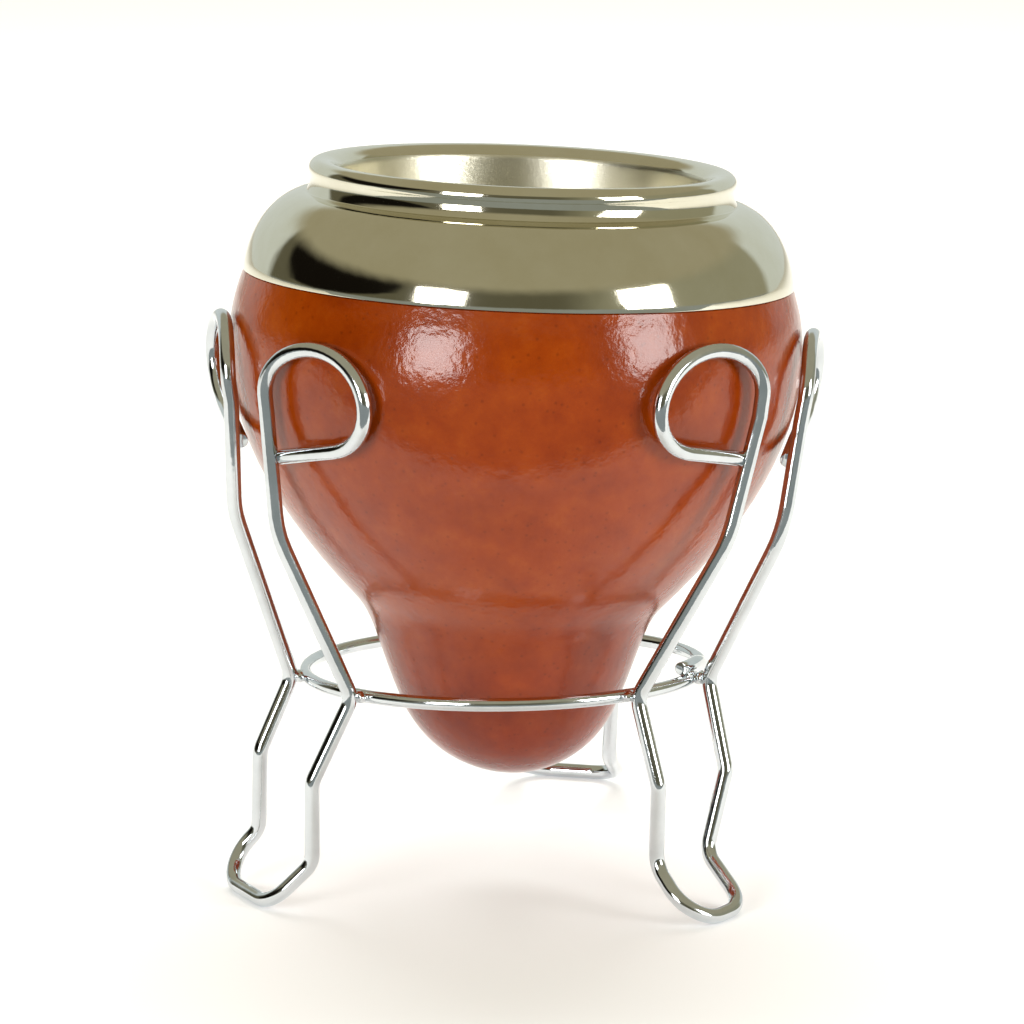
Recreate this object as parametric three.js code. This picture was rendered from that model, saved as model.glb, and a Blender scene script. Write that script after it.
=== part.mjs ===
// Mate gourd cup with a metal collar, standing in a stand of bent wire.
//
// Millimetres, +Z up. The origin is on the floor, under the middle of the whole object, and the
// viewer stands on the -Y side. An azimuth is counted from the viewer's side (-Y) towards +X.
//
// The gourd is a hollow shell with an open mouth. The collar is one sheet of metal: a shoulder
// over the gourd, a neck band with a rolled lip, and a liner down the inside of the mouth.
// Three legs, each bent from one wire, grip the gourd between their loops, and one ring of
// thinner wire joins them low down.

import * as THREE from 'three';

const degrees = Math.PI / 180;

// ---------------------------------------------------------------- driving dimensions

// The gourd's outline, as radius and height above its own lowest point.
const bellyRadius = 45;
const bellyHeight = 67.7;
const noseRadius = 18.5;
const noseSweep = 65 * degrees;
const waist = new THREE.Vector2(24.6, 28.2);
const waistSlope = 46 * degrees;
const wall = 4.5;
const mouthHeight = 89.5;
const noseSwing = 1.4;

// How far the outline runs straight on, roughly, before and after each of those places.
const noseRun = 9;
const waistRunDown = 3;
const waistRunUp = 21.5;
const bellyRunDown = 12;
const bellyRunUp = 6;

// The hollow inside: it follows the wall, closes in under the collar and rounds off in the nose.
const hollowShoulder = new THREE.Vector2(37, 80);
const hollowRunUp = 8.3;
const hollowRunDown = 14;
const hollowWaistRun = 12;
const hollowNose = 13;
const mouthBevel = 1;

// How the cup sits in the stand: its lowest point, and its lean to the back and to the right.
const cupFoot = new THREE.Vector3(-0.8, -4.4, 17.3);
const leanBack = 2.9 * degrees;
const leanRight = 2.3 * degrees;

// The collar, with heights above the gourd's lowest point.
const sheet = 0.7;
const skirtRadius = 43.3;
const skirtHeight = 79.2;
const skirtRun = 3;
const skirtStep = 0.2;
const shoulderLow = new THREE.Vector2(42.4, 86.6);
const shoulderHigh = new THREE.Vector2(38, 91);
const neckRadius = 33.5;
const neckFoot = 91.6;
const bandHollow = 0.6;
const lipTop = 96.6;
const lipRadius = 1.6;
const lipDrop = 2.4;
const mouthRadius = 28.6;
const linerRadius = 27.4;
const linerFoot = 83;

// Wires and the gaps between pieces that touch.
const legWire = 2.4;
const ringWire = 2.1;
const gap = 0.3;
const gripGap = 0.5;

// The ring that joins the legs: its size, its height and its lean to the back and to the left.
const ringRadius = 31.7;
const ringHeight = 32.9;
const ringLeanBack = 3.9 * degrees;
const ringLeanLeft = 0.7 * degrees;
const ringStart = 71 * degrees;
const ringOverlap = 10 * degrees;
const ringRise = 22 * degrees;
const ringStep = 7.5 * degrees;

// One leg, seen from its side: how far out each bend is and how high, and half the width there.
const shin = { out: 43.8, height: 61.5, half: 7.7, bend: 18 };
const knee = { out: 38.4, height: 21.4, half: 9.4, bend: 4 };
const ankle = { out: 38.4, height: 8.3, bend: 4 };
const footBend = 5.6;
const jointBend = 4;

// The grip loops, which are flat and touch the gourd at their middle: width, top and bottom
// heights, and the radii of their bends.
const loop = { width: 20.4, top: 91.2, bottom: 73.4, rise: 4, bends: [6.2, 8.4, 8.8] };
const gripHeight = 80;

// Each leg was bent and welded by hand, so each has its own spread and twist. Azimuths and
// spreads are in degrees, at the ring and at the grip. The lean and splay turn the leg about its
// joint with the ring, the foot can point a little to one side, and the second loop may sit lower.
const legs = [
  { name: 'leg_left', azimuth: -62, spread: 36.8, grip: -60.5, gripSpread: 14, loopDrop: 0,
    foot: 44.2, footHalf: 9.7, footShift: -3.2, lean: -2, splay: 0 },
  { name: 'leg_right', azimuth: 54, spread: 33.4, grip: 60.8, gripSpread: 17.6, loopDrop: 3.4,
    foot: 48.6, footHalf: 7, footShift: -2.8, lean: -4.7, splay: 5.4 },
  { name: 'leg_rear', azimuth: 166.6, spread: 35.4, grip: 171.7, gripSpread: 15, loopDrop: 0,
    foot: 53.5, footHalf: 8.8, footShift: 1.6, lean: 0, splay: 0 },
];

// How finely round shapes are divided: the cup round its axis, the pieces of each outline from
// one end to the other, and the wires.
const aroundCup = 36;
const flankSteps = [5, 3, 8, 3];
const hollowSteps = [1, 4, 6, 5];
const shoulderSteps = 7;
const bandSteps = [1, 3, 4, 4, 1];
const wireSides = 8;
const arcStep = 20 * degrees;

// ---------------------------------------------------------------- materials

const lacqueredGourd = new THREE.MeshStandardMaterial({ color: 0xa3430f, roughness: 0.25 });
const nickelSilver = new THREE.MeshStandardMaterial({
  color: 0xbdb48f, roughness: 0.12, metalness: 1,
});
const chrome = new THREE.MeshStandardMaterial({ color: 0xc4c9cf, roughness: 0.08, metalness: 1 });

// ---------------------------------------------------------------- outlines

function pointsOf(path, divisions) {
  return path.curves.flatMap((curve, index) => {
    const points = curve.getPoints(divisions[index]);
    return index === 0 ? points : points.slice(1);
  });
}

// The gourd's outside up to the collar's edge: nose, tapering flank, belly.
function gourdFlank() {
  const noseEnd = new THREE.Vector2(
    noseRadius * Math.sin(noseSweep), noseRadius * (1 - Math.cos(noseSweep)));
  const path = new THREE.Path();
  path.absarc(0, noseRadius, noseRadius, -Math.PI / 2, -Math.PI / 2 + noseSweep, false);
  path.bezierCurveTo(
    noseEnd.x + noseRun * Math.cos(noseSweep), noseEnd.y + noseRun * Math.sin(noseSweep),
    waist.x - waistRunDown * Math.cos(waistSlope), waist.y - waistRunDown * Math.sin(waistSlope),
    waist.x, waist.y);
  path.bezierCurveTo(
    waist.x + waistRunUp * Math.cos(waistSlope), waist.y + waistRunUp * Math.sin(waistSlope),
    bellyRadius, bellyHeight - bellyRunDown,
    bellyRadius, bellyHeight);
  path.bezierCurveTo(
    bellyRadius, bellyHeight + bellyRunUp,
    skirtRadius + sheet, skirtHeight - skirtRun,
    skirtRadius - skirtStep, skirtHeight - gap);
  return pointsOf(path, flankSteps);
}

// The shoulder of the collar, from the skirt's edge up to the foot of the neck. The inset moves
// the whole curve in from the outside of the metal.
function shoulder(inset) {
  const curve = new THREE.CubicBezierCurve(
    new THREE.Vector2(skirtRadius - inset, skirtHeight),
    new THREE.Vector2(shoulderLow.x - inset, shoulderLow.y - inset / 2),
    new THREE.Vector2(shoulderHigh.x - inset / 2, shoulderHigh.y - inset),
    new THREE.Vector2(neckRadius, neckFoot - inset));
  return curve.getPoints(shoulderSteps);
}

// The radius of the gourd at a height above its lowest point.
const flankProfile = gourdFlank();
function gourdRadius(height) {
  const above = flankProfile.findIndex((point) => point.y > height);
  if (above < 1) {
    return flankProfile[flankProfile.length - 1].x;
  }
  const low = flankProfile[above - 1];
  const high = flankProfile[above];
  return THREE.MathUtils.mapLinear(height, low.y, high.y, low.x, high.x);
}

// ---------------------------------------------------------------- the cup

// Turns a closed outline round the axis. The outline runs anticlockwise, seen with the radius
// to the right and the height up.
function turned(outline, name, material) {
  const geometry = new THREE.LatheGeometry(outline, aroundCup);
  geometry.rotateX(Math.PI / 2);
  const mesh = new THREE.Mesh(geometry, material);
  mesh.name = name;
  return mesh;
}

// A gourd isn't quite round about one axis: its nose swings to one side.
function swingNose(geometry) {
  const position = geometry.attributes.position;
  for (let i = 0; i < position.count; i += 1) {
    const below = Math.max(0, (bellyHeight - position.getZ(i)) / bellyHeight);
    position.setX(i, position.getX(i) + noseSwing * below ** 2);
  }
}

// The outside of the liner, which narrows from the lip down to its foot.
function linerOutside(height) {
  return sheet + THREE.MathUtils.mapLinear(
    height, linerFoot, lipTop - lipDrop, linerRadius, mouthRadius);
}

function makeGourd() {
  const underCollar = shoulder(sheet + gap).filter((point) => point.y < mouthHeight);
  const hollowRadius = bellyRadius - wall;
  const hollowWaist = new THREE.Vector2(waist.x - wall, waist.y + wall / 2);
  const inside = new THREE.Path();
  inside.moveTo(linerOutside(mouthHeight) + gap, mouthHeight);
  inside.lineTo(linerOutside(linerFoot) + gap, linerFoot - mouthBevel);
  inside.bezierCurveTo(
    hollowShoulder.x, hollowShoulder.y,
    hollowRadius, bellyHeight + hollowRunUp,
    hollowRadius, bellyHeight);
  inside.bezierCurveTo(
    hollowRadius, bellyHeight - hollowRunDown,
    hollowWaist.x + hollowWaistRun * Math.cos(waistSlope),
    hollowWaist.y + hollowWaistRun * Math.sin(waistSlope),
    hollowWaist.x, hollowWaist.y);
  inside.quadraticCurveTo(hollowNose, wall, 0, wall);
  const outline = [...flankProfile, ...underCollar, ...pointsOf(inside, hollowSteps)];
  const gourd = turned(outline, 'gourd', lacqueredGourd);
  swingNose(gourd.geometry);
  return gourd;
}

function makeCollar() {
  const lipCentre = new THREE.Vector2(neckRadius - lipRadius, lipTop - lipRadius);
  const bandInside = neckRadius - bandHollow - sheet;
  const band = new THREE.Path();
  band.moveTo(neckRadius, neckFoot);
  band.quadraticCurveTo(
    neckRadius - bandHollow, (neckFoot + lipCentre.y) / 2,
    neckRadius, lipCentre.y);
  band.absarc(lipCentre.x, lipCentre.y, lipRadius, 0, Math.PI / 2, false);
  band.quadraticCurveTo(mouthRadius, lipTop, mouthRadius, lipTop - lipDrop);
  band.lineTo(linerRadius, linerFoot);
  const outside = [...shoulder(0), ...pointsOf(band, bandSteps).slice(1)];
  const inside = [
    new THREE.Vector2(linerOutside(linerFoot), linerFoot),
    new THREE.Vector2(linerOutside(lipTop - lipDrop), lipTop - lipDrop),
    new THREE.Vector2(mouthRadius + lipRadius, lipTop - sheet),
    new THREE.Vector2(lipCentre.x, lipTop - sheet),
    new THREE.Vector2(bandInside, lipCentre.y),
    new THREE.Vector2(bandInside, neckFoot - sheet),
    ...shoulder(sheet).reverse().slice(1),
  ];
  const outline = [...outside, ...inside];
  outline.push(outline[0].clone());
  return turned(outline, 'collar', nickelSilver);
}

function makeCup() {
  const cup = new THREE.Group();
  cup.position.copy(cupFoot);
  cup.rotation.set(-leanBack, leanRight, 0);
  cup.add(makeGourd(), makeCollar());
  return cup;
}

// ---------------------------------------------------------------- wire

// A wire's centre line as straight runs between stations, one cross-section at each.
class WirePath extends THREE.Curve {
  constructor(stations) {
    super();
    this.stations = stations;
  }

  getUtoTmapping(u) {
    return u;
  }

  getPoint(t) {
    const last = this.stations.length - 1;
    const place = Math.min(t * last, last);
    const index = Math.min(Math.floor(place + 1e-6), last - 1);
    return this.stations[index].clone().lerp(this.stations[index + 1], place - index);
  }

  getTangent(t) {
    const last = this.stations.length - 1;
    const index = Math.round(t * last);
    const here = this.stations[index];
    const tangent = new THREE.Vector3();
    if (index > 0) {
      tangent.add(here.clone().sub(this.stations[index - 1]).normalize());
    }
    if (index < last) {
      tangent.add(this.stations[index + 1].clone().sub(here).normalize());
    }
    return tangent.normalize();
  }
}

// The stations of a line through the corners, with each corner rounded by an arc.
function roundCorners(corners, radii) {
  const stations = [corners[0].clone()];
  for (let i = 1; i < corners.length - 1; i += 1) {
    const into = corners[i].clone().sub(corners[i - 1]).normalize();
    const away = corners[i + 1].clone().sub(corners[i]).normalize();
    const turn = into.angleTo(away);
    const radius = radii[i - 1];
    const start = corners[i].clone().addScaledVector(into, -radius * Math.tan(turn / 2));
    const inward = away.clone().addScaledVector(into, -away.dot(into)).normalize();
    const centre = start.clone().addScaledVector(inward, radius);
    const steps = Math.ceil(turn / arcStep);
    for (let step = 0; step <= steps; step += 1) {
      const angle = (turn * step) / steps;
      stations.push(centre.clone()
        .addScaledVector(into, radius * Math.sin(angle))
        .addScaledVector(inward, -radius * Math.cos(angle)));
    }
  }
  stations.push(corners[corners.length - 1].clone());
  return stations;
}

function makeWire(stations, diameter, name) {
  const section = new THREE.Shape();
  section.absarc(0, 0, diameter / 2, 0, 2 * Math.PI, false);
  const geometry = new THREE.ExtrudeGeometry(section, {
    extrudePath: new WirePath(stations),
    steps: stations.length - 1,
    curveSegments: wireSides / 2,
    bevelEnabled: false,
  });
  const mesh = new THREE.Mesh(geometry, chrome);
  mesh.name = name;
  return mesh;
}

// ---------------------------------------------------------------- the stand

function outward(azimuth) {
  return new THREE.Vector3(Math.sin(azimuth), -Math.cos(azimuth), 0);
}

function sideways(azimuth) {
  return new THREE.Vector3(Math.cos(azimuth), Math.sin(azimuth), 0);
}

// The height of the leaning ring's centre line above a point of the floor.
function ringHeightAt(x, y) {
  return ringHeight - y * Math.tan(ringLeanBack) + x * Math.tan(ringLeanLeft);
}

// A point of a wire that lies against the leaning gourd, at a height above the floor.
function besideGourd(azimuth, height) {
  const axis = new THREE.Vector3(0, 0, 1).applyEuler(new THREE.Euler(-leanBack, leanRight, 0));
  const out = outward(azimuth);
  const along = (height - cupFoot.z) / axis.z;
  const level = along + bellyRadius * out.dot(axis);
  const reach = gourdRadius(level) + legWire / 2 + gripGap;
  return cupFoot.clone().addScaledVector(axis, along).addScaledVector(out, reach);
}

// The stations of a grip loop, from its cut end to the top of the upright that it belongs to.
function loopStations(gripAzimuth, side, drop) {
  const corners = [
    new THREE.Vector3(legWire / 2 + gap, loop.bottom, 0),
    new THREE.Vector3(loop.width, loop.bottom + loop.rise, 0),
    new THREE.Vector3(loop.width, loop.top, 0),
    new THREE.Vector3(0, loop.top, 0),
    new THREE.Vector3(0, gripHeight, 0),
  ];
  const middle = gripAzimuth + side * Math.asin(loop.width / 2 / (bellyRadius + legWire / 2));
  return roundCorners(corners, loop.bends).map((flat) => besideGourd(middle, flat.y - drop)
    .addScaledVector(sideways(middle), side * (flat.x - loop.width / 2)));
}

// The joint of an upright with the outside of the ring.
function ringJoint(azimuth) {
  const joint = outward(azimuth).multiplyScalar(ringRadius + ringWire / 2 + gap + legWire / 2);
  joint.z = ringHeightAt(joint.x, joint.y);
  return joint;
}

function makeLeg(leg) {
  const azimuth = leg.azimuth * degrees;
  const out = outward(azimuth);
  const side = sideways(azimuth);
  const joint = out.clone().multiplyScalar(ringRadius);
  joint.z = ringHeightAt(joint.x, joint.y);
  const twist = new THREE.Matrix4()
    .makeRotationAxis(side, leg.splay * degrees)
    .premultiply(new THREE.Matrix4().makeRotationAxis(out, leg.lean * degrees));
  const bent = (reach, across, height) => out.clone().multiplyScalar(reach)
    .addScaledVector(side, across)
    .setZ(height)
    .sub(joint)
    .applyMatrix4(twist)
    .add(joint);
  const half = (direction) => {
    const gripAzimuth = (leg.grip + direction * leg.gripSpread / 2) * degrees;
    const jointAzimuth = azimuth + direction * leg.spread / 2 * degrees;
    const foot = bent(leg.foot, direction * leg.footHalf + leg.footShift, 0);
    foot.z = legWire / 2;
    return {
      loop: loopStations(gripAzimuth, direction, direction > 0 ? leg.loopDrop : 0),
      corners: [
        bent(shin.out, direction * shin.half, shin.height),
        ringJoint(jointAzimuth),
        bent(knee.out, direction * knee.half, knee.height),
        bent(ankle.out, direction * leg.footHalf, ankle.height),
        foot,
      ],
    };
  };
  const one = half(1);
  const other = half(-1);
  const top = (loopOfHalf) => loopOfHalf[loopOfHalf.length - 1];
  const bends = [shin.bend, jointBend, knee.bend, ankle.bend, footBend];
  const middle = roundCorners(
    [top(one.loop), ...one.corners, ...other.corners.reverse(), top(other.loop)],
    [...bends, ...bends.slice().reverse()]);
  const stations = [...one.loop, ...middle.slice(1, -1), ...other.loop.reverse()];
  return makeWire(stations, legWire, leg.name);
}

// The ring starts beside the right leg, runs once round and ends on top of its own start.
function makeRing() {
  const sweep = 2 * Math.PI + ringOverlap;
  const steps = Math.round(sweep / ringStep);
  const stations = [];
  for (let step = 0; step <= steps; step += 1) {
    const angle = (sweep * step) / steps;
    const climb = THREE.MathUtils.smoothstep(angle, sweep - ringOverlap - ringRise,
      sweep - ringOverlap);
    const point = outward(ringStart - angle).multiplyScalar(ringRadius);
    point.z = climb * (ringWire + gap);
    stations.push(point);
  }
  const ring = makeWire(stations, ringWire, 'ring');
  ring.position.z = ringHeight;
  ring.rotation.set(-ringLeanBack, -ringLeanLeft, 0);
  return ring;
}

function makeStand() {
  const stand = new THREE.Group();
  stand.add(...legs.map(makeLeg), makeRing());
  return stand;
}

// ---------------------------------------------------------------- the object

const object = new THREE.Group();
object.name = 'mate_gourd_cup';
object.add(makeCup(), makeStand());

// Centre the object over the origin, standing on the floor.
const box = new THREE.Box3().setFromObject(object, true);
object.position.set(-(box.min.x + box.max.x) / 2, -(box.min.y + box.max.y) / 2, -box.min.z);

export default object;
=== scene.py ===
import math

import bpy
from mathutils import Matrix, Vector


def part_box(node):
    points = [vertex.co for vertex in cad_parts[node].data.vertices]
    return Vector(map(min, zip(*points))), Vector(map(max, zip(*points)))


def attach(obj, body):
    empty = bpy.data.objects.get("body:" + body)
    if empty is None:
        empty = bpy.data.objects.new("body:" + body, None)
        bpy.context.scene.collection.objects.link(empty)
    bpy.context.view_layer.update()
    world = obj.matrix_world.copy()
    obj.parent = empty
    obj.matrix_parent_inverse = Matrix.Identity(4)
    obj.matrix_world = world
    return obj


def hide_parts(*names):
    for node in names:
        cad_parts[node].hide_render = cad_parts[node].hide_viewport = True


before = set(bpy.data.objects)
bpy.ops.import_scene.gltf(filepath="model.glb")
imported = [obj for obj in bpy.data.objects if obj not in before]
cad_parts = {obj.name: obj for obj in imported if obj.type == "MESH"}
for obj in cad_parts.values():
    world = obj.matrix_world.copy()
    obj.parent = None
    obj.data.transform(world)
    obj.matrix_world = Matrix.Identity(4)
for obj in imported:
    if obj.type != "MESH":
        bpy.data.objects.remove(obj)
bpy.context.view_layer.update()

MM = 0.001


# ---------------------------------------------------------------- the camera
# The viewer stands in front of the two front legs and looks down a little on the open mouth,
# from far enough away that the wires show hardly any perspective.

ring_low, ring_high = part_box("ring")
stand_centre = Vector(((ring_low.x + ring_high.x) / 2, (ring_low.y + ring_high.y) / 2, 0))

camera_offset = Vector((1.3, -803.1, 239.5)) * MM
look_down = math.radians(12.72)
lens_mm = 182.8
sensor_mm = 36

bpy.ops.object.camera_add(
    location=stand_centre + camera_offset,
    rotation=(math.pi / 2 - look_down, 0, 0))
camera = bpy.context.object
camera.name = "camera"
camera.data.lens = lens_mm
camera.data.sensor_width = sensor_mm
camera.data.clip_start = 0.05
bpy.context.scene.camera = camera


# ---------------------------------------------------------------- the gourd
# A dried calabash, grown and not made: its outline bends at a waist between the nose and the belly,
# and its skin is never quite even. It is sawn open at the top, hollowed out, dyed red-brown and
# sealed with clear gloss lacquer.

nose_radius = 18.5
nose_sweep = math.radians(65)
waist = Vector((24.6, 28.2))
waist_slope = math.radians(46)
belly_radius = 45
belly_height = 67.7
wall = 4.5
mouth_height = 89.5
mouth_radius = 28.4
nose_swing = 1.4
skirt_radius = 43.3
skirt_height = 79.2
lean_back = math.radians(2.9)
lean_right = math.radians(2.3)
unevenness = 0.45 * MM
hollows_across = 30 * MM
skin_fade = 25
smooth_within = math.radians(40)


def along(angle, run):
    """A step of that length at that angle above the level, in the plane of an outline."""
    return Vector((math.cos(angle), math.sin(angle))) * run


def outline(name, knots, fineness):
    """A curve through the knots. Each is (handle before, place, handle after), as (radius, height)."""
    bpy.ops.object.select_all(action="DESELECT")
    bpy.ops.curve.primitive_bezier_curve_add()
    curve = bpy.context.object
    curve.name = name
    curve.data.resolution_u = fineness
    run = curve.data.splines[0]
    run.bezier_points.add(len(knots) - len(run.bezier_points))
    for point, (before, place, after) in zip(run.bezier_points, knots):
        point.handle_left_type = point.handle_right_type = "FREE"
        point.co = Vector((place[0], 0, place[1])) * MM
        point.handle_left = Vector((before[0], 0, before[1])) * MM
        point.handle_right = Vector((after[0], 0, after[1])) * MM
    bpy.ops.object.convert(target="MESH")
    return curve


def spin_round(piece, steps):
    """Turns the outline once round the upright axis into a skin with its seam and poles closed."""
    bpy.ops.object.mode_set(mode="EDIT")
    bpy.ops.mesh.select_all(action="SELECT")
    bpy.ops.mesh.spin(steps=steps, angle=2 * math.pi, center=(0, 0, 0), axis=(0, 0, 1))
    bpy.ops.mesh.select_all(action="SELECT")
    bpy.ops.mesh.remove_doubles(threshold=0.01 * MM)
    bpy.ops.mesh.normals_make_consistent(inside=False)
    bpy.ops.object.mode_set(mode="OBJECT")
    outermost = max(piece.data.polygons, key=lambda face: face.center.xy.length)
    if outermost.normal.xy.dot(outermost.center.xy) < 0:
        piece.data.flip_normals()


def apply_modifiers(piece):
    bpy.ops.object.select_all(action="DESELECT")
    piece.select_set(True)
    bpy.context.view_layer.objects.active = piece
    for modifier in list(piece.modifiers):
        bpy.ops.object.modifier_apply(modifier=modifier.name)


def set_in_place(piece, lean, node):
    """Leans a piece over, and moves its mesh so that its box is centred on the CAD node's."""
    piece.data.transform(lean)
    low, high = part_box(node)
    corners = [piece.data.vertices[0].co.copy(), piece.data.vertices[0].co.copy()]
    for vertex in piece.data.vertices:
        corners[0] = Vector(map(min, corners[0], vertex.co))
        corners[1] = Vector(map(max, corners[1], vertex.co))
    move = (low + high) / 2 - (corners[0] + corners[1]) / 2
    piece.data.transform(Matrix.Translation(move))
    return move


nose_handle = 4 / 3 * math.tan(nose_sweep / 4) * nose_radius
nose_end = Vector((nose_radius * math.sin(nose_sweep), nose_radius * (1 - math.cos(nose_sweep))))
hollow_radius = belly_radius - wall
hollow_waist = waist + Vector((-wall, wall / 2))

gourd_outline = [
    ((0, 0), (0, 0), (nose_handle, 0)),
    (nose_end - along(nose_sweep, nose_handle), nose_end, nose_end + along(nose_sweep, 9)),
    (waist - along(waist_slope, 5), waist, waist + along(waist_slope, 20)),
    ((belly_radius, belly_height - 12), (belly_radius, belly_height),
     (belly_radius, belly_height + 6)),
    ((skirt_radius + 0.6, skirt_height - 3), (skirt_radius - 0.2, skirt_height - 0.2),
     (skirt_radius - 0.8, skirt_height)),
    ((skirt_radius - 1.1, skirt_height), (skirt_radius - 1.2, skirt_height + 0.3),
     (41.2, 84.5)),
    ((38, 88.5), (35.5, mouth_height), (34, mouth_height)),
    ((mouth_radius + 2, mouth_height), (mouth_radius + 0.8, mouth_height),
     (mouth_radius, mouth_height - 1)),
    ((mouth_radius, 84), (mouth_radius, 83), (37, 80)),
    ((hollow_radius, belly_height + 8), (hollow_radius, belly_height),
     (hollow_radius, belly_height - 14)),
    (hollow_waist + along(waist_slope, 12), hollow_waist, hollow_waist - along(waist_slope, 8)),
    ((13, wall), (0, wall), (0, wall)),
]

gourd = outline("gourd_shell", gourd_outline, 14)
spin_round(gourd, 144)

for face in gourd.data.polygons:
    facing_in = face.normal.xy.dot(face.center.xy) < 0
    hollow_floor = face.normal.z > 0.3 and face.center.z < waist.y * MM
    face.material_index = 1 if facing_in or hollow_floor else 0

free_skin = gourd.vertex_groups.new(name="free_skin")
for vertex in gourd.data.vertices:
    height = vertex.co.z / MM
    freedom = min(max((skirt_height - 3 - height) / skin_fade, 0), 1)
    free_skin.add([vertex.index], freedom, "REPLACE")
    below = max(0, 1 - height / belly_height)
    vertex.co.x += nose_swing * MM * below ** 2

cup_lean = Matrix.Rotation(-lean_back, 4, "X") @ Matrix.Rotation(lean_right, 4, "Y")
cup_move = set_in_place(gourd, cup_lean, "gourd")

soft_hollows = bpy.data.textures.new("soft_hollows", "CLOUDS")
soft_hollows.noise_scale = hollows_across
soft_hollows.noise_depth = 1
swell = gourd.modifiers.new("swell", "DISPLACE")
swell.texture = soft_hollows
swell.texture_coords = "LOCAL"
swell.vertex_group = free_skin.name
swell.strength = unevenness
apply_modifiers(gourd)
bpy.ops.object.shade_smooth_by_angle(angle=smooth_within)


def linear(hex_colour):
    """An sRGB hex colour as the linear colour that a shader takes."""
    channels = [int(hex_colour[i:i + 2], 16) / 255 for i in (1, 3, 5)]
    return [c / 12.92 if c <= 0.04045 else ((c + 0.055) / 1.055) ** 2.4 for c in channels] + [1]


def add_node(tree, kind, settings=None, stops=(), **links):
    """Adds a node. A link's value is another node's output, or the number or colour to set. The
    stops are a colour ramp's, as (place, hex colour)."""
    node = tree.nodes.new(kind)
    for name, value in (settings or {}).items():
        setattr(node, name, value)
    for number, (place, colour) in enumerate(stops):
        elements = node.color_ramp.elements
        element = elements[number] if number < len(elements) else elements.new(place)
        element.position = place
        element.color = linear(colour)
    for name, value in links.items():
        number = name[1:]
        socket = node.inputs[int(number) if number.isdigit() else name.replace("_", " ")]
        if isinstance(value, bpy.types.NodeSocket):
            tree.links.new(value, socket)
        else:
            socket.default_value = value
    return node


def new_material(name):
    """An empty material and its node tree."""
    material = bpy.data.materials.new(name)
    material.use_nodes = True
    material.node_tree.nodes.clear()
    return material, material.node_tree


def dyed_calabash():
    """Calabash dyed red-brown under lacquer: the dye lies in clouds, with pores that took more of it,
    and the clear coat has a fine orange-peel that breaks up its highlights. Where the belly turns
    under, painted shade darkens the colour towards the bottom."""
    material, tree = new_material("dyed calabash under gloss lacquer")
    place = add_node(tree, "ShaderNodeTexCoord").outputs["Object"]
    clouds = add_node(tree, "ShaderNodeTexNoise", Vector=place, Scale=1 / (26 * MM),
                      Detail=4.0, Roughness=0.6)
    mottle = add_node(tree, "ShaderNodeTexNoise", Vector=place, Scale=1 / (5 * MM),
                      Detail=5.0, Roughness=0.65)
    pores = add_node(tree, "ShaderNodeTexVoronoi", Vector=place, Scale=1 / (1.6 * MM),
                     Randomness=1.0)
    dye = add_node(tree, "ShaderNodeValToRGB", Fac=clouds.outputs["Fac"],
                   stops=((0.30, "#7d2a02"), (0.48, "#963802"), (0.66, "#a64706")))
    cloth_marks = add_node(tree, "ShaderNodeValToRGB", Fac=mottle.outputs["Fac"],
                           stops=((0.32, "#842c02"), (0.55, "#9d3e04"), (0.72, "#ae4f0c")))
    mixed = add_node(tree, "ShaderNodeMix", {"data_type": "RGBA"}, Factor=0.45,
                     _6=dye.outputs["Color"], _7=cloth_marks.outputs["Color"])
    pore_mask = add_node(tree, "ShaderNodeValToRGB", Fac=pores.outputs["Distance"],
                         stops=((0.05, "#8c8c8c"), (0.22, "#ffffff")))
    spotted = add_node(tree, "ShaderNodeMix", {"data_type": "RGBA", "blend_type": "MULTIPLY"},
                       Factor=0.35, _6=mixed.outputs[2], _7=pore_mask.outputs["Color"])
    # Painted shade: the colour is darkened towards the bottom, most at 20 mm height and below and not
    # at all above 62 mm, where the belly turns under away from the light.
    height = add_node(tree, "ShaderNodeSeparateXYZ", Vector=place).outputs["Z"]
    underside_shade_fade = add_node(tree, "ShaderNodeMapRange", Value=height,
                        From_Min=20 * MM, From_Max=62 * MM, To_Min=0.0, To_Max=1.0)
    painted_underside_shade = add_node(tree, "ShaderNodeValToRGB", Fac=underside_shade_fade.outputs["Result"],
                    stops=((0.0, "#c9a294"), (1.0, "#ffffff")))
    colour = add_node(tree, "ShaderNodeMix", {"data_type": "RGBA", "blend_type": "MULTIPLY"},
                      Factor=0.8, _6=spotted.outputs[2], _7=painted_underside_shade.outputs["Color"])
    peel = add_node(tree, "ShaderNodeTexNoise", Vector=place, Scale=1 / (1.5 * MM),
                    Detail=3.0, Roughness=0.6)
    peel_bump = add_node(tree, "ShaderNodeBump", Strength=0.8, Distance=0.09 * MM,
                         Height=peel.outputs["Fac"])
    pore_bump = add_node(tree, "ShaderNodeBump", Strength=0.3, Distance=0.05 * MM,
                         Height=pores.outputs["Distance"], Normal=peel_bump.outputs[0])
    shader = add_node(tree, "ShaderNodeBsdfPrincipled", Base_Color=colour.outputs[2],
                      Roughness=0.5, IOR=1.5, Specular_IOR_Level=0.0, Coat_Weight=1.0,
                      Coat_Roughness=0.15, Coat_IOR=1.5, Normal=pore_bump.outputs[0],
                      Coat_Normal=pore_bump.outputs[0])
    add_node(tree, "ShaderNodeOutputMaterial", Surface=shader.outputs[0])
    return material


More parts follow.
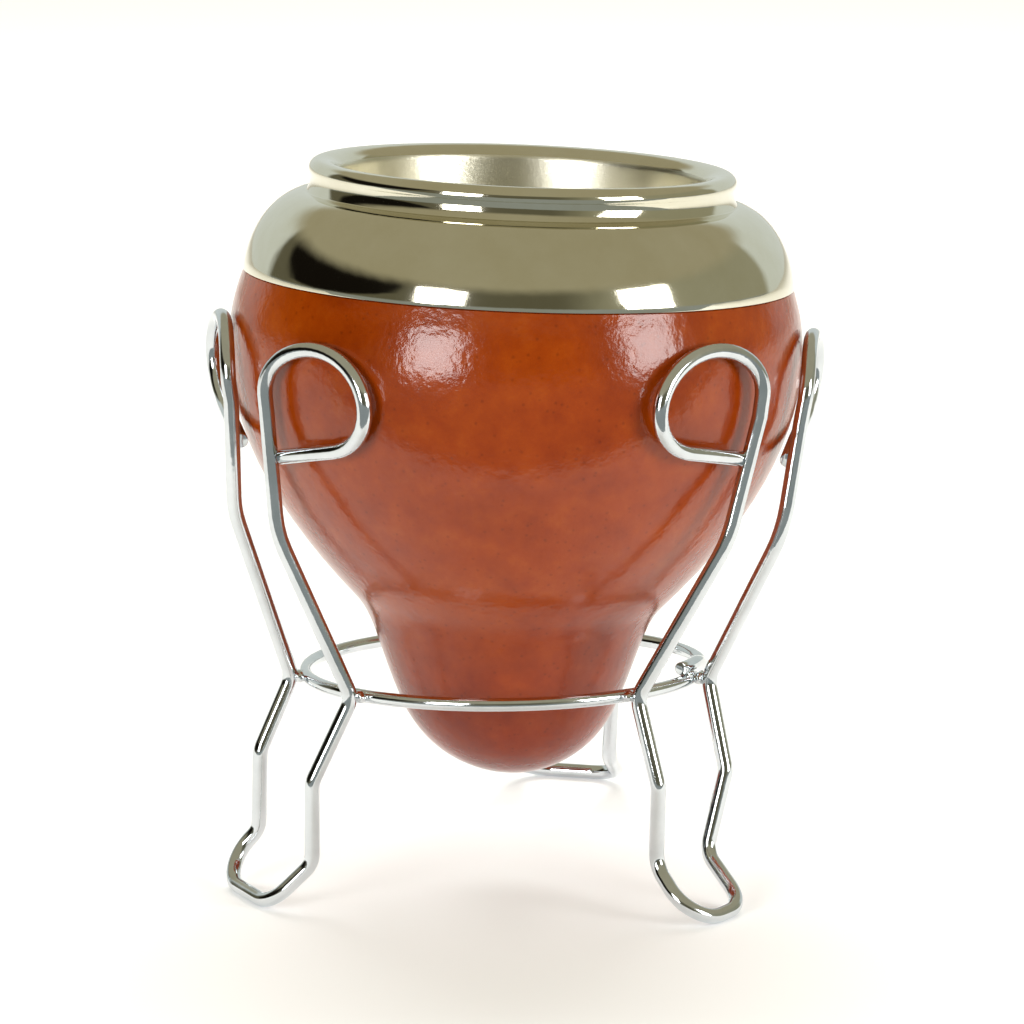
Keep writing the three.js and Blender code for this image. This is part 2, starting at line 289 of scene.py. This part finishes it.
def raw_calabash():
    """The scraped inside of the gourd: bare and matt, pale brown, with a woody fleck."""
    material, tree = new_material("scraped calabash")
    place = add_node(tree, "ShaderNodeTexCoord").outputs["Object"]
    fleck = add_node(tree, "ShaderNodeTexNoise", Vector=place, Scale=1 / (3 * MM),
                     Detail=6.0, Roughness=0.7)
    colour = add_node(tree, "ShaderNodeValToRGB", Fac=fleck.outputs["Fac"],
                      stops=((0.3, "#5e3b1e"), (0.5, "#8a5f34"), (0.7, "#a67c4c")))
    bump = add_node(tree, "ShaderNodeBump", Strength=0.6, Distance=0.3 * MM,
                    Height=fleck.outputs["Fac"])
    shader = add_node(tree, "ShaderNodeBsdfPrincipled", Base_Color=colour.outputs["Color"],
                      Roughness=0.8, Normal=bump.outputs[0])
    add_node(tree, "ShaderNodeOutputMaterial", Surface=shader.outputs[0])
    return material


gourd.data.materials.append(dyed_calabash())
gourd.data.materials.append(raw_calabash())
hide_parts("gourd")
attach(gourd, "root")


# ---------------------------------------------------------------- the collar
# One sheet of nickel silver, spun over a former: a shoulder that grips the gourd, a short neck
# with a slightly hollow band, a rolled lip, and a liner that runs down inside the mouth. The
# outside is buffed bright and has the faint waves of hand work; the liner is left satin.

sheet = 0.7 * MM
lip_radius = 1.6
lip_top = 96.6
neck_radius = 33.5
neck_foot = 91.6
liner_foot = (27.4, 83)
liner_top = (28.6, 94.2)
liner_reach = 30
satin_top = 95.2
roll = 4 / 3 * math.tan(math.pi / 8) * lip_radius
lip_crown = neck_radius - lip_radius

collar_outline = [
    (liner_foot, liner_foot, (27.7, 86)),
    ((28.4, 92), liner_top, (28.7, 95.7)),
    ((lip_crown - 2, lip_top), (lip_crown, lip_top), (lip_crown + roll, lip_top)),
    ((neck_radius, lip_top - lip_radius + roll), (neck_radius, lip_top - lip_radius),
     (neck_radius, lip_top - lip_radius - 0.5)),
    ((neck_radius - 0.3, 94.3), (neck_radius - 0.3, 93.5), (neck_radius - 0.3, 92.8)),
    ((neck_radius - 0.05, neck_foot + 0.6), (neck_radius + 0.1, neck_foot + 0.25),
     (neck_radius + 0.15, neck_foot + 0.1)),
    ((neck_radius + 0.3, neck_foot), (neck_radius + 0.6, neck_foot), (38, 91)),
    ((42.4, 86.6), (skirt_radius, skirt_height), (skirt_radius, skirt_height)),
]

collar = outline("collar_sheet", collar_outline, 14)
spin_round(collar, 160)
for face in collar.data.polygons:
    facing_in = face.normal.xy.dot(face.center.xy) < 0
    in_liner = face.center.xy.length < liner_reach * MM and face.center.z < satin_top * MM
    face.material_index = 1 if facing_in and in_liner else 0
collar.data.transform(cup_lean)
collar.data.transform(Matrix.Translation(cup_move))

thickness = collar.modifiers.new("thickness", "SOLIDIFY")
thickness.thickness = sheet
thickness.offset = -1
thickness.use_even_offset = True
soft_edge = collar.modifiers.new("soft_edge", "BEVEL")
soft_edge.width = 0.15 * MM
soft_edge.segments = 2
soft_edge.limit_method = "ANGLE"
soft_edge.angle_limit = math.radians(60)
apply_modifiers(collar)
bpy.ops.object.shade_smooth_by_angle(angle=smooth_within)


def nickel_silver(name, roughness, grain_size, grain_depth, wave_depth):
    """Polished copper, nickel and zinc: a warm, slightly yellow-green white metal."""
    material, tree = new_material(name)
    place = add_node(tree, "ShaderNodeTexCoord").outputs["Object"]
    tarnish = add_node(tree, "ShaderNodeTexNoise", Vector=place, Scale=1 / (14 * MM),
                       Detail=5.0, Roughness=0.6)
    colour = add_node(tree, "ShaderNodeValToRGB", Fac=tarnish.outputs["Fac"],
                      stops=((0.3, "#d8d3bd"), (0.7, "#e2dfcf")))
    waves = add_node(tree, "ShaderNodeTexNoise", Vector=place, Scale=1 / (7 * MM), Detail=2.0)
    wave_bump = add_node(tree, "ShaderNodeBump", Strength=1.0, Distance=wave_depth,
                         Height=waves.outputs["Fac"])
    grain = add_node(tree, "ShaderNodeTexNoise", Vector=place, Scale=1 / grain_size,
                     Detail=4.0, Roughness=0.7)
    grain_bump = add_node(tree, "ShaderNodeBump", Strength=1.0, Distance=grain_depth,
                          Height=grain.outputs["Fac"], Normal=wave_bump.outputs[0])
    shader = add_node(tree, "ShaderNodeBsdfPrincipled", Base_Color=colour.outputs["Color"],
                      Metallic=1.0, Roughness=roughness, Normal=grain_bump.outputs[0])
    add_node(tree, "ShaderNodeOutputMaterial", Surface=shader.outputs[0])
    return material


collar.data.materials.append(
    nickel_silver("buffed nickel silver", 0.07, 0.5 * MM, 0.002 * MM, 0.06 * MM))
collar.data.materials.append(
    nickel_silver("satin nickel silver", 0.3, 0.45 * MM, 0.03 * MM, 0.04 * MM))
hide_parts("collar")
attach(collar, "root")


# ---------------------------------------------------------------- the three legs
# Each leg is one steel wire, bent cold by hand: a grip loop, an upright that comes down to the
# ring, a knee, an ankle, round the foot, and the same back up. Each came out a little different.
# The wire is chromed after welding, so it is one bright skin with its cut ends slightly rounded.

leg_wire = 2.4
ring_wire = 2.1
grip_gap = 0.5
ring_gap = 0.3
cup_foot = Vector((-0.8, -4.4, 17.3))
ring_radius = 31.7
ring_height = 32.9
ring_lean_back = math.radians(3.9)
ring_lean_left = math.radians(0.7)

loop_width = 20.4
loop_top = 91.2
loop_bottom = 73.4
loop_half_height = 7.8
loop_start = math.radians(-72)
grip_height = 80
shin_out, shin_height, shin_half = 43.8, 61.5, 7.7
knee_out, knee_height, knee_half = 38.4, 21.4, 9.4
ankle_out, ankle_height = 38.4, 8.3
leg_bends = (18, 4, 4, 4, 5.6)
arc_step = math.radians(7)
flank_steps = 100

legs = {
    "leg_left": dict(azimuth=-62, spread=36.8, grip=-60.5, grip_spread=14, drop=0,
                     foot=44.2, foot_half=9.7, foot_shift=-3.2, lean=-2, splay=0),
    "leg_right": dict(azimuth=54, spread=33.4, grip=60.8, grip_spread=17.6, drop=3.4,
                      foot=48.6, foot_half=7, foot_shift=-2.8, lean=-4.7, splay=5.4),
    "leg_rear": dict(azimuth=166.6, spread=35.4, grip=171.7, grip_spread=15, drop=0,
                     foot=53.5, foot_half=8.8, foot_shift=1.6, lean=0, splay=0),
}


def outward(azimuth):
    return Vector((math.sin(azimuth), -math.cos(azimuth), 0))


def sideways(azimuth):
    return Vector((math.cos(azimuth), math.sin(azimuth), 0))


def ring_height_at(place):
    """The height of the leaning ring's centre line above a point of the floor."""
    return ring_height - place.y * math.tan(ring_lean_back) + place.x * math.tan(ring_lean_left)


def flank_radius(height):
    """The gourd's radius at a height up its belly, read from its own outline."""
    start, one = gourd_outline[2][1:]
    two, end = (Vector(place) for place in gourd_outline[3][:2])
    for step in range(flank_steps + 1):
        t = step / flank_steps
        place = ((1 - t) ** 3 * start + 3 * t * (1 - t) ** 2 * one
                 + 3 * t ** 2 * (1 - t) * two + t ** 3 * end)
        if place.y >= height:
            return place.x
    above = (height - belly_height) / (skirt_height - belly_height)
    return belly_radius - (belly_radius - skirt_radius) * above ** 2


def beside_gourd(azimuth, height):
    """The centre of a wire that lies against the leaning gourd, at a height above the floor."""
    axis = cup_lean.to_3x3() @ Vector((0, 0, 1))
    out = outward(azimuth)
    up = (height - cup_foot.z) / axis.z
    reach = flank_radius(up + belly_radius * out.dot(axis)) + leg_wire / 2 + grip_gap
    return cup_foot + axis * up + out * reach


def round_corners(corners, radii):
    """The corners of a bent wire, each rounded by an arc of its own radius."""
    places = [corners[0]]
    for before, corner, after, radius in zip(corners, corners[1:], corners[2:], radii):
        into = (corner - before).normalized()
        away = (after - corner).normalized()
        turn = into.angle(away)
        start = corner - into * radius * math.tan(turn / 2)
        inward = (away - into * away.dot(into)).normalized()
        steps = max(2, math.ceil(turn / arc_step))
        for step in range(steps + 1):
            angle = turn * step / steps
            places.append(start + into * radius * math.sin(angle)
                          + inward * radius * (1 - math.cos(angle)))
    return places + [corners[-1]]


def bent_wire(name, places, diameter):
    """A round wire along the places, its cut ends slightly rounded. Places are in mm."""
    bpy.ops.object.select_all(action="DESELECT")
    bpy.ops.curve.primitive_nurbs_path_add()
    wire = bpy.context.object
    wire.name = name
    wire.data.splines.clear()
    run = wire.data.splines.new("POLY")
    run.points.add(len(places) - 1)
    for point, place in zip(run.points, places):
        point.co = (*(stand_centre + place * MM), 1)
    wire.data.bevel_depth = diameter / 2 * MM
    wire.data.bevel_resolution = 6
    wire.data.use_fill_caps = True
    bpy.ops.object.convert(target="MESH")
    bpy.ops.object.mode_set(mode="EDIT")
    bpy.ops.mesh.select_all(action="SELECT")
    bpy.ops.mesh.remove_doubles(threshold=0.005 * MM)
    bpy.ops.mesh.normals_make_consistent(inside=False)
    bpy.ops.object.mode_set(mode="OBJECT")
    cut = wire.modifiers.new("cut_ends", "BEVEL")
    cut.width = 0.25 * MM
    cut.segments = 3
    cut.limit_method = "ANGLE"
    cut.angle_limit = math.radians(60)
    apply_modifiers(wire)
    bpy.ops.object.shade_smooth_by_angle(angle=smooth_within)
    return wire


def loop_places(grip, side, drop):
    """A flat grip loop from its cut end up over the top and down to its upright. It touches the
    gourd at its middle."""
    half_width = loop_width / 2
    turns = math.ceil((math.pi - loop_start) / arc_step)
    places = [(leg_wire / 2 + ring_gap, loop_bottom)]
    for turn in range(turns + 1):
        angle = loop_start + (math.pi - loop_start) * turn / turns
        places.append((half_width * (1 + math.cos(angle)),
                       loop_top + loop_half_height * (math.sin(angle) - 1)))
    places.append((0, grip_height))
    middle = grip + side * math.asin(half_width / (belly_radius + leg_wire / 2))
    return [beside_gourd(middle, height - drop) + sideways(middle) * side * (across - half_width)
            for across, height in places]


def leg_places(leg):
    """The whole run of one leg's wire, from one cut end to the other."""
    azimuth = math.radians(leg["azimuth"])
    out, side = outward(azimuth), sideways(azimuth)
    joint = out * ring_radius
    joint.z = ring_height_at(joint)
    twist = (Matrix.Rotation(math.radians(leg["lean"]), 3, out)
             @ Matrix.Rotation(math.radians(leg["splay"]), 3, side))

    def bent(reach, across, height):
        place = out * reach + side * across
        place.z = height
        return twist @ (place - joint) + joint

    def half(direction):
        grip = math.radians(leg["grip"] + direction * leg["grip_spread"] / 2)
        at_ring = math.radians(leg["azimuth"] + direction * leg["spread"] / 2)
        weld = outward(at_ring) * (ring_radius + ring_wire / 2 + ring_gap / 3 + leg_wire / 2)
        weld.z = ring_height_at(weld)
        foot = bent(leg["foot"], direction * leg["foot_half"] + leg["foot_shift"], 0)
        foot.z = leg_wire / 2
        return loop_places(grip, direction, leg["drop"] if direction > 0 else 0), [
            bent(shin_out, direction * shin_half, shin_height),
            weld,
            bent(knee_out, direction * knee_half, knee_height),
            bent(ankle_out, direction * leg["foot_half"], ankle_height),
            foot,
        ]

    one_loop, one = half(1)
    other_loop, other = half(-1)
    middle = round_corners([one_loop[-1], *one, *reversed(other), other_loop[-1]],
                           leg_bends + leg_bends[::-1])
    return one_loop + middle[1:-1] + other_loop[::-1]


def bright_chrome():
    """Bright chrome over polished steel wire: a hard, cool mirror, faintly rippled and clouded."""
    material, tree = new_material("bright chrome plate")
    place = add_node(tree, "ShaderNodeTexCoord").outputs["Object"]
    bloom = add_node(tree, "ShaderNodeTexNoise", Vector=place, Scale=1 / (6 * MM),
                     Detail=5.0, Roughness=0.6)
    colour = add_node(tree, "ShaderNodeValToRGB", Fac=bloom.outputs["Fac"],
                      stops=((0.3, "#ced3d6"), (0.7, "#dde1e4")))
    haze = add_node(tree, "ShaderNodeMapRange", Value=bloom.outputs["Fac"],
                    From_Min=0.3, From_Max=0.7, To_Min=0.05, To_Max=0.14)
    ripple = add_node(tree, "ShaderNodeTexNoise", Vector=place, Scale=1 / (2.5 * MM), Detail=2.0)
    bump = add_node(tree, "ShaderNodeBump", Strength=1.0, Distance=0.03 * MM,
                    Height=ripple.outputs["Fac"])
    shader = add_node(tree, "ShaderNodeBsdfPrincipled", Base_Color=colour.outputs["Color"],
                      Metallic=1.0, Roughness=haze.outputs[0], Normal=bump.outputs[0])
    add_node(tree, "ShaderNodeOutputMaterial", Surface=shader.outputs[0])
    return material


chrome = bright_chrome()


def chromed(piece):
    piece.data.materials.clear()
    piece.data.materials.append(chrome)
    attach(piece, "root")


for name, leg in legs.items():
    wire = bent_wire(name + "_wire", leg_places(leg), leg_wire)
    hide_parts(name)
    chromed(wire)


# ---------------------------------------------------------------- the ring
# A thinner wire bent once round inside the six uprights. Its last two centimetres climb so that
# the end lies on top of the start, just behind the right leg, where the two are welded together.

ring_start = math.radians(71)
ring_overlap = math.radians(10)
ring_rise = math.radians(22)
ring_steps = 150
ring_sweep = 2 * math.pi + ring_overlap
ring_lean = Matrix.Rotation(-ring_lean_back, 3, "X") @ Matrix.Rotation(-ring_lean_left, 3, "Y")

ring_places = []
for step in range(ring_steps + 1):
    angle = ring_sweep * step / ring_steps
    climb = min(max((angle - 2 * math.pi + ring_rise) / ring_rise, 0), 1)
    climb = climb * climb * (3 - 2 * climb)
    place = outward(ring_start - angle) * ring_radius
    place.z = climb * (ring_wire + ring_gap / 3)
    ring_places.append(ring_lean @ place + Vector((0, 0, ring_height)))

ring = bent_wire("ring_wire", ring_places, ring_wire)
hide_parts("ring")
chromed(ring)


# ---------------------------------------------------------------- the welds
# A small bead of weld joins the ring to each of the six uprights, and one more the ring's ends to
# each other. Each is a drop of steel that ran along the joint and was chromed over with the rest.

bead_length, bead_width, bead_height = 3.4, 2.0, 2.0
lump_size, lump_size_step, lump_depth = 1.2, 0.1, 0.7


def weld_bead(name, place, along_ring, seed):
    bpy.ops.object.select_all(action="DESELECT")
    bpy.ops.mesh.primitive_ico_sphere_add(subdivisions=4, radius=0.5)
    bead = bpy.context.object
    bead.name = name
    bead.data.transform(Matrix.Diagonal((bead_length, bead_width, bead_height, 1)) * MM)
    turn = Vector((1, 0, 0)).rotation_difference(along_ring)
    bead.data.transform(
        Matrix.Translation(stand_centre + place * MM) @ turn.to_matrix().to_4x4())
    lumps = bpy.data.textures.new(f"{name}_lumps", "CLOUDS")
    lumps.noise_scale = (lump_size + lump_size_step * seed) * MM
    run_metal = bead.modifiers.new("run_metal", "DISPLACE")
    run_metal.texture = lumps
    run_metal.texture_coords = "LOCAL"
    run_metal.strength = lump_depth * MM
    apply_modifiers(bead)
    bpy.ops.object.shade_smooth()
    chromed(bead)


for number, (name, leg) in enumerate(legs.items()):
    for side in (-1, 1):
        azimuth = math.radians(leg["azimuth"] + side * leg["spread"] / 2)
        place = outward(azimuth) * (ring_radius + ring_wire / 2)
        place.z = ring_height_at(place)
        weld_bead(f"weld_{name}_{'b' if side > 0 else 'a'}", place, sideways(azimuth),
                  2 * number + side)

ends_azimuth = ring_start - ring_overlap / 2
ends_place = outward(ends_azimuth) * ring_radius
ends_place.z = ring_height_at(ends_place) + ring_wire / 2
weld_bead("weld_ring_ends", ends_place, sideways(ends_azimuth), 7)


# ---------------------------------------------------------------- floor and light
# A plain white floor that starts just in front of the stand and runs far back, in a studio with a
# pale sweep behind. In front are two soft boxes, left and right, and the rest of the room, which
# is dim and warm, with a dark doorway to the left. The back light is kept out of the metal.

floor_front, floor_back, floor_side = 0.12, 3.0, 1.6

bpy.ops.object.select_all(action="DESELECT")
bpy.ops.mesh.primitive_plane_add(size=1)
floor = bpy.context.object
floor.name = "floor"
floor.data.transform(
    Matrix.Translation((0, (floor_back - floor_front) / 2, 0))
    @ Matrix.Diagonal((2 * floor_side, floor_back + floor_front, 1, 1)))
paper, paper_tree = new_material("white paper")
matt_white = add_node(paper_tree, "ShaderNodeBsdfPrincipled", Base_Color=linear("#f4f4f4"),
                      Roughness=0.9, Emission_Color=linear("#ffffff"), Emission_Strength=0.22)
add_node(paper_tree, "ShaderNodeOutputMaterial", Surface=matt_white.outputs[0])
floor.data.materials.append(paper)


def towards(azimuth, rise):
    """A direction out from the object. Angles are in degrees, azimuth 0 towards the viewer."""
    return (outward(math.radians(azimuth)) * math.cos(math.radians(rise))
            + Vector((0, 0, math.sin(math.radians(rise)))))


light_aim = stand_centre + Vector((0, 0, grip_height)) * MM
for name, azimuth, rise, distance, size, watts in (
        ("soft_box_left", -32, 12, 1.0, (0.36, 0.44), 5.5),
        ("soft_box_right", 55, 12, 1.0, (0.38, 0.46), 5.5),
        ("back_light", 180, 55, 1.3, (1.2, 0.8), 14)):
    direction = towards(azimuth, rise)
    bpy.ops.object.light_add(type="AREA", location=light_aim + direction * distance)
    light = bpy.context.object
    light.name = name
    light.rotation_euler = direction.to_track_quat("Z", "Y").to_euler()
    light.data.shape = "RECTANGLE"
    light.data.size, light.data.size_y = size
    light.data.energy = watts
    light.visible_glossy = name != "back_light"


room = bpy.data.worlds.new("studio")
room.use_nodes = True
studio = room.node_tree
studio.nodes.clear()
direction = add_node(studio, "ShaderNodeTexCoord").outputs["Generated"]
sides = add_node(studio, "ShaderNodeSeparateXYZ", Vector=direction)
doorway = add_node(studio, "ShaderNodeVectorMath", {"operation": "DOT_PRODUCT"},
                   _0=direction, _1=towards(-86, 31)).outputs["Value"]
downward = add_node(studio, "ShaderNodeMath", {"operation": "MULTIPLY"},
                    _0=sides.outputs["Z"], _1=-1.0).outputs[0]
doorway_rim = math.cos(math.radians(35))
doorway_core = math.cos(math.radians(30))

# In order: the lighter right of the room, the doorway, the table, the sweep and the ceiling.
surroundings = linear("#625f4d")
for value, begins, is_full, colour in (
        (sides.outputs["X"], 0.25, 0.75, "#9c9a83"),
        (doorway, doorway_rim, doorway_core, "#14110d"),
        (downward, 0.0, 0.06, "#959b98"),
        (sides.outputs["Y"], 0.56, 0.64, "#d6dcd7"),
        (sides.outputs["Z"], 0.36, 0.52, "#a8a288")):
    mask = add_node(studio, "ShaderNodeMapRange", {"interpolation_type": "SMOOTHSTEP"},
                    Value=value, From_Min=begins, From_Max=is_full)
    mixed = add_node(studio, "ShaderNodeMix", {"data_type": "RGBA"},
                     Factor=mask.outputs["Result"], _6=surroundings, _7=linear(colour))
    surroundings = mixed.outputs[2]

seen = add_node(studio, "ShaderNodeLightPath").outputs["Is Camera Ray"]
backdrop = add_node(studio, "ShaderNodeMix", {"data_type": "RGBA"}, Factor=seen,
                    _6=surroundings, _7=linear("#ffffff"))
glow = add_node(studio, "ShaderNodeBackground", Color=backdrop.outputs[2], Strength=1.0)
add_node(studio, "ShaderNodeOutputWorld", Surface=glow.outputs[0])
bpy.context.scene.world = room
bpy.context.scene.view_settings.view_transform = "Standard"
